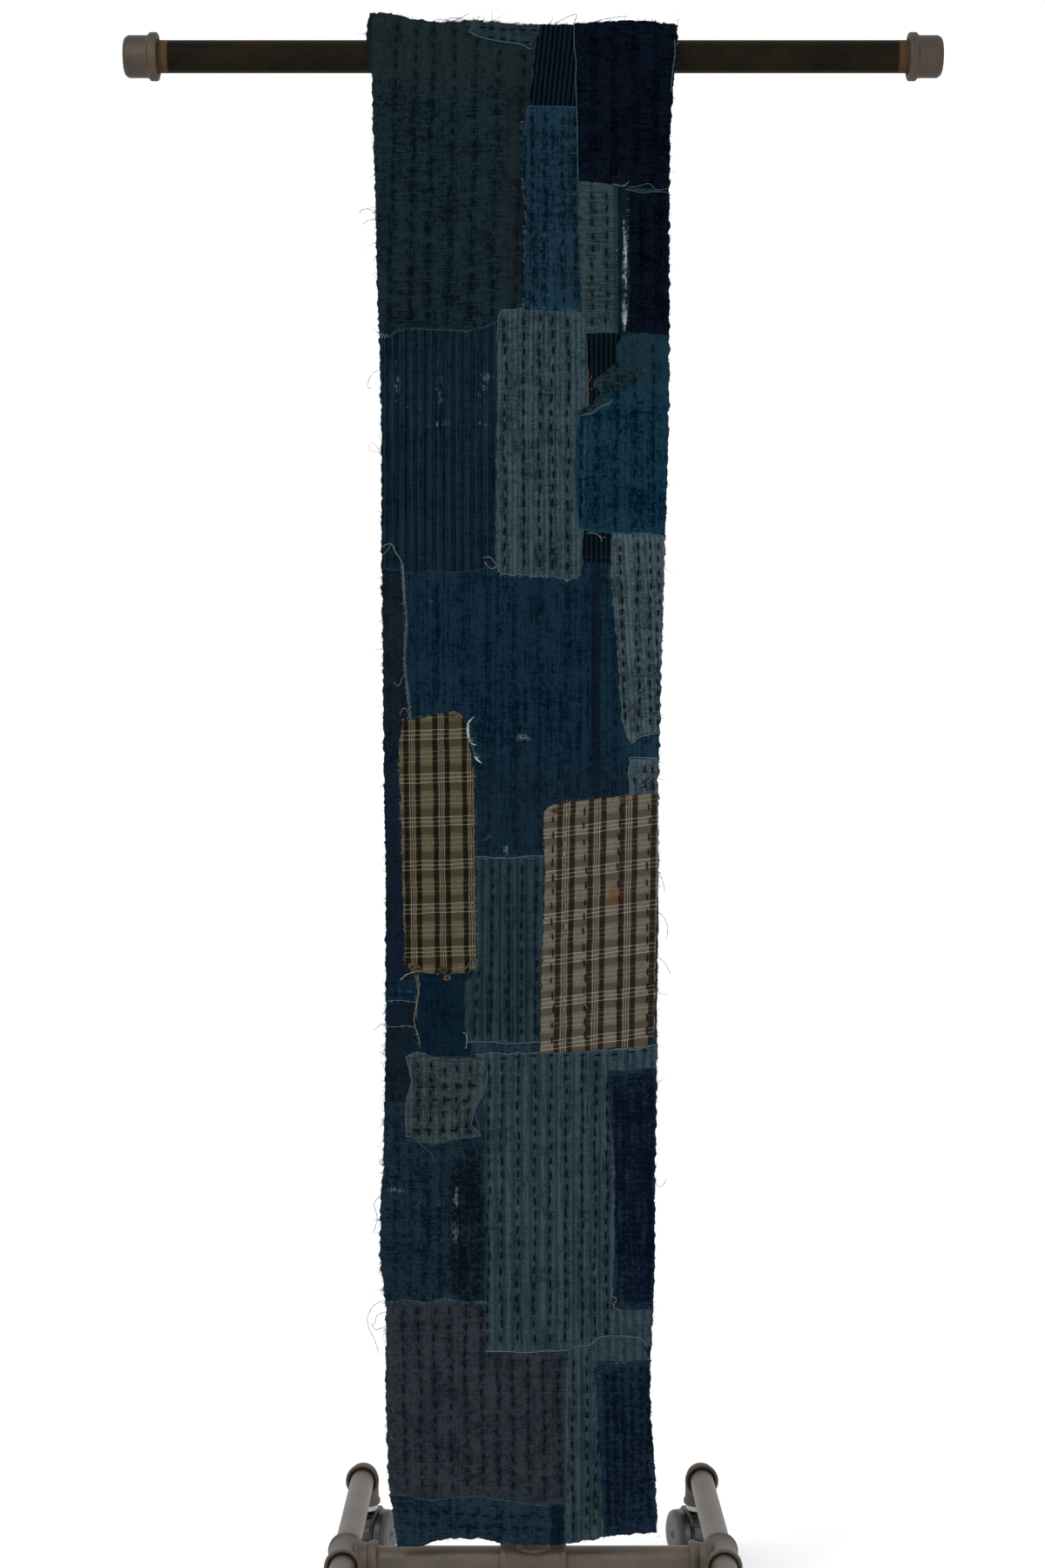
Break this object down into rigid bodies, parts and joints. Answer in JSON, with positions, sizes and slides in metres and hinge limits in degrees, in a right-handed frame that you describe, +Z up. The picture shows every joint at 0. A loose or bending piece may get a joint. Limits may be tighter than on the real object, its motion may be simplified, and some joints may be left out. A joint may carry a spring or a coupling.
{
  "type": "boro patched cloth on a pipe stand",
  "caption": "Long narrow cloth of layered indigo and plaid patches held by rows of running stitches, hung from the top bar of a T-shaped iron pipe stand on swivel casters.",
  "frame": {"origin": "on the floor, under the middle of the object's box, on the post's axis", "axes": "+Z up along the post, +X along the top bar, the cloth's face towards -Y"},
  "size_m": [0.8448, 0.8022, 1.6936],
  "materials": {
    "boro_cloth": "matt, worn indigo cotton in many shades with brown plaid patches and dark running stitches",
    "black_bar": "satin black paint, bare brown thread ends",
    "iron_pipe": "dull grey-brown bare pipe",
    "cast_fitting": "rough grey-brown malleable iron",
    "zinc": "light zinc",
    "black_plastic": "black moulded plastic with ridges",
    "wheel_grey": "grey-black moulded plastic"
  },
  "bodies": {
    "stand": {"cloth": "boro_cloth", "top_tee": "cast_fitting", "bar_left": "black_bar", "bar_right": "black_bar", "end_cap_left": "cast_fitting", "end_cap_right": "cast_fitting", "post": "iron_pipe", "base_tee": "cast_fitting", "cross_pipe_left": "iron_pipe", "cross_pipe_right": "iron_pipe", "side_tee_left": "cast_fitting", "side_tee_right": "cast_fitting", "leg_front_left": "iron_pipe", "elbow_front_left": "cast_fitting", "bush_front_left": "zinc", "leg_front_right": "iron_pipe", "elbow_front_right": "cast_fitting", "bush_front_right": "zinc", "leg_back_left": "iron_pipe", "elbow_back_left": "cast_fitting", "bush_back_left": "zinc", "leg_back_right": "iron_pipe", "elbow_back_right": "cast_fitting", "bush_back_right": "zinc"},
    "caster_front_left": {"hood_front_left": "black_plastic", "axle_front_left": "zinc"},
    "wheel_front_left_a": {"wheel_front_left_a": "wheel_grey"},
    "wheel_front_left_b": {"wheel_front_left_b": "wheel_grey"},
    "caster_front_right": {"hood_front_right": "black_plastic", "axle_front_right": "zinc"},
    "wheel_front_right_a": {"wheel_front_right_a": "wheel_grey"},
    "wheel_front_right_b": {"wheel_front_right_b": "wheel_grey"},
    "caster_back_left": {"hood_back_left": "black_plastic", "axle_back_left": "zinc"},
    "wheel_back_left_a": {"wheel_back_left_a": "wheel_grey"},
    "wheel_back_left_b": {"wheel_back_left_b": "wheel_grey"},
    "caster_back_right": {"hood_back_right": "black_plastic", "axle_back_right": "zinc"},
    "wheel_back_right_a": {"wheel_back_right_a": "wheel_grey"},
    "wheel_back_right_b": {"wheel_back_right_b": "wheel_grey"}
  },
  "joints": [
    {"name": "swivel_front_left", "type": "hinge", "parent": "stand", "child": "caster_front_left", "pos_m": [-0.195, -0.35, 0.065], "axis": [0, 0, 1], "continuous": true},
    {"name": "spin_front_left_a", "type": "hinge", "parent": "caster_front_left", "child": "wheel_front_left_a", "pos_m": [-0.17005, -0.36007, 0.028], "axis": [-0.9397, -0.342, 0], "continuous": true},
    {"name": "spin_front_left_b", "type": "hinge", "parent": "caster_front_left", "child": "wheel_front_left_b", "pos_m": [-0.20764, -0.37376, 0.028], "axis": [-0.9397, -0.342, 0], "continuous": true},
    {"name": "swivel_front_right", "type": "hinge", "parent": "stand", "child": "caster_front_right", "pos_m": [0.195, -0.35, 0.065], "axis": [0, 0, 1], "continuous": true},
    {"name": "spin_front_right_a", "type": "hinge", "parent": "caster_front_right", "child": "wheel_front_right_a", "pos_m": [0.20764, -0.37376, 0.028], "axis": [-0.9397, 0.342, 0], "continuous": true},
    {"name": "spin_front_right_b", "type": "hinge", "parent": "caster_front_right", "child": "wheel_front_right_b", "pos_m": [0.17005, -0.36007, 0.028], "axis": [-0.9397, 0.342, 0], "continuous": true},
    {"name": "swivel_back_left", "type": "hinge", "parent": "stand", "child": "caster_back_left", "pos_m": [-0.195, 0.35, 0.065], "axis": [0, 0, 1], "continuous": true},
    {"name": "spin_back_left_a", "type": "hinge", "parent": "caster_back_left", "child": "wheel_back_left_a", "pos_m": [-0.20764, 0.37376, 0.028], "axis": [0.9397, -0.342, 0], "continuous": true},
    {"name": "spin_back_left_b", "type": "hinge", "parent": "caster_back_left", "child": "wheel_back_left_b", "pos_m": [-0.17005, 0.36007, 0.028], "axis": [0.9397, -0.342, 0], "continuous": true},
    {"name": "swivel_back_right", "type": "hinge", "parent": "stand", "child": "caster_back_right", "pos_m": [0.195, 0.35, 0.065], "axis": [0, 0, 1], "continuous": true},
    {"name": "spin_back_right_a", "type": "hinge", "parent": "caster_back_right", "child": "wheel_back_right_a", "pos_m": [0.17005, 0.36007, 0.028], "axis": [0.9397, 0.342, 0], "continuous": true},
    {"name": "spin_back_right_b", "type": "hinge", "parent": "caster_back_right", "child": "wheel_back_right_b", "pos_m": [0.20764, 0.37376, 0.028], "axis": [0.9397, 0.342, 0], "continuous": true}
  ]
}
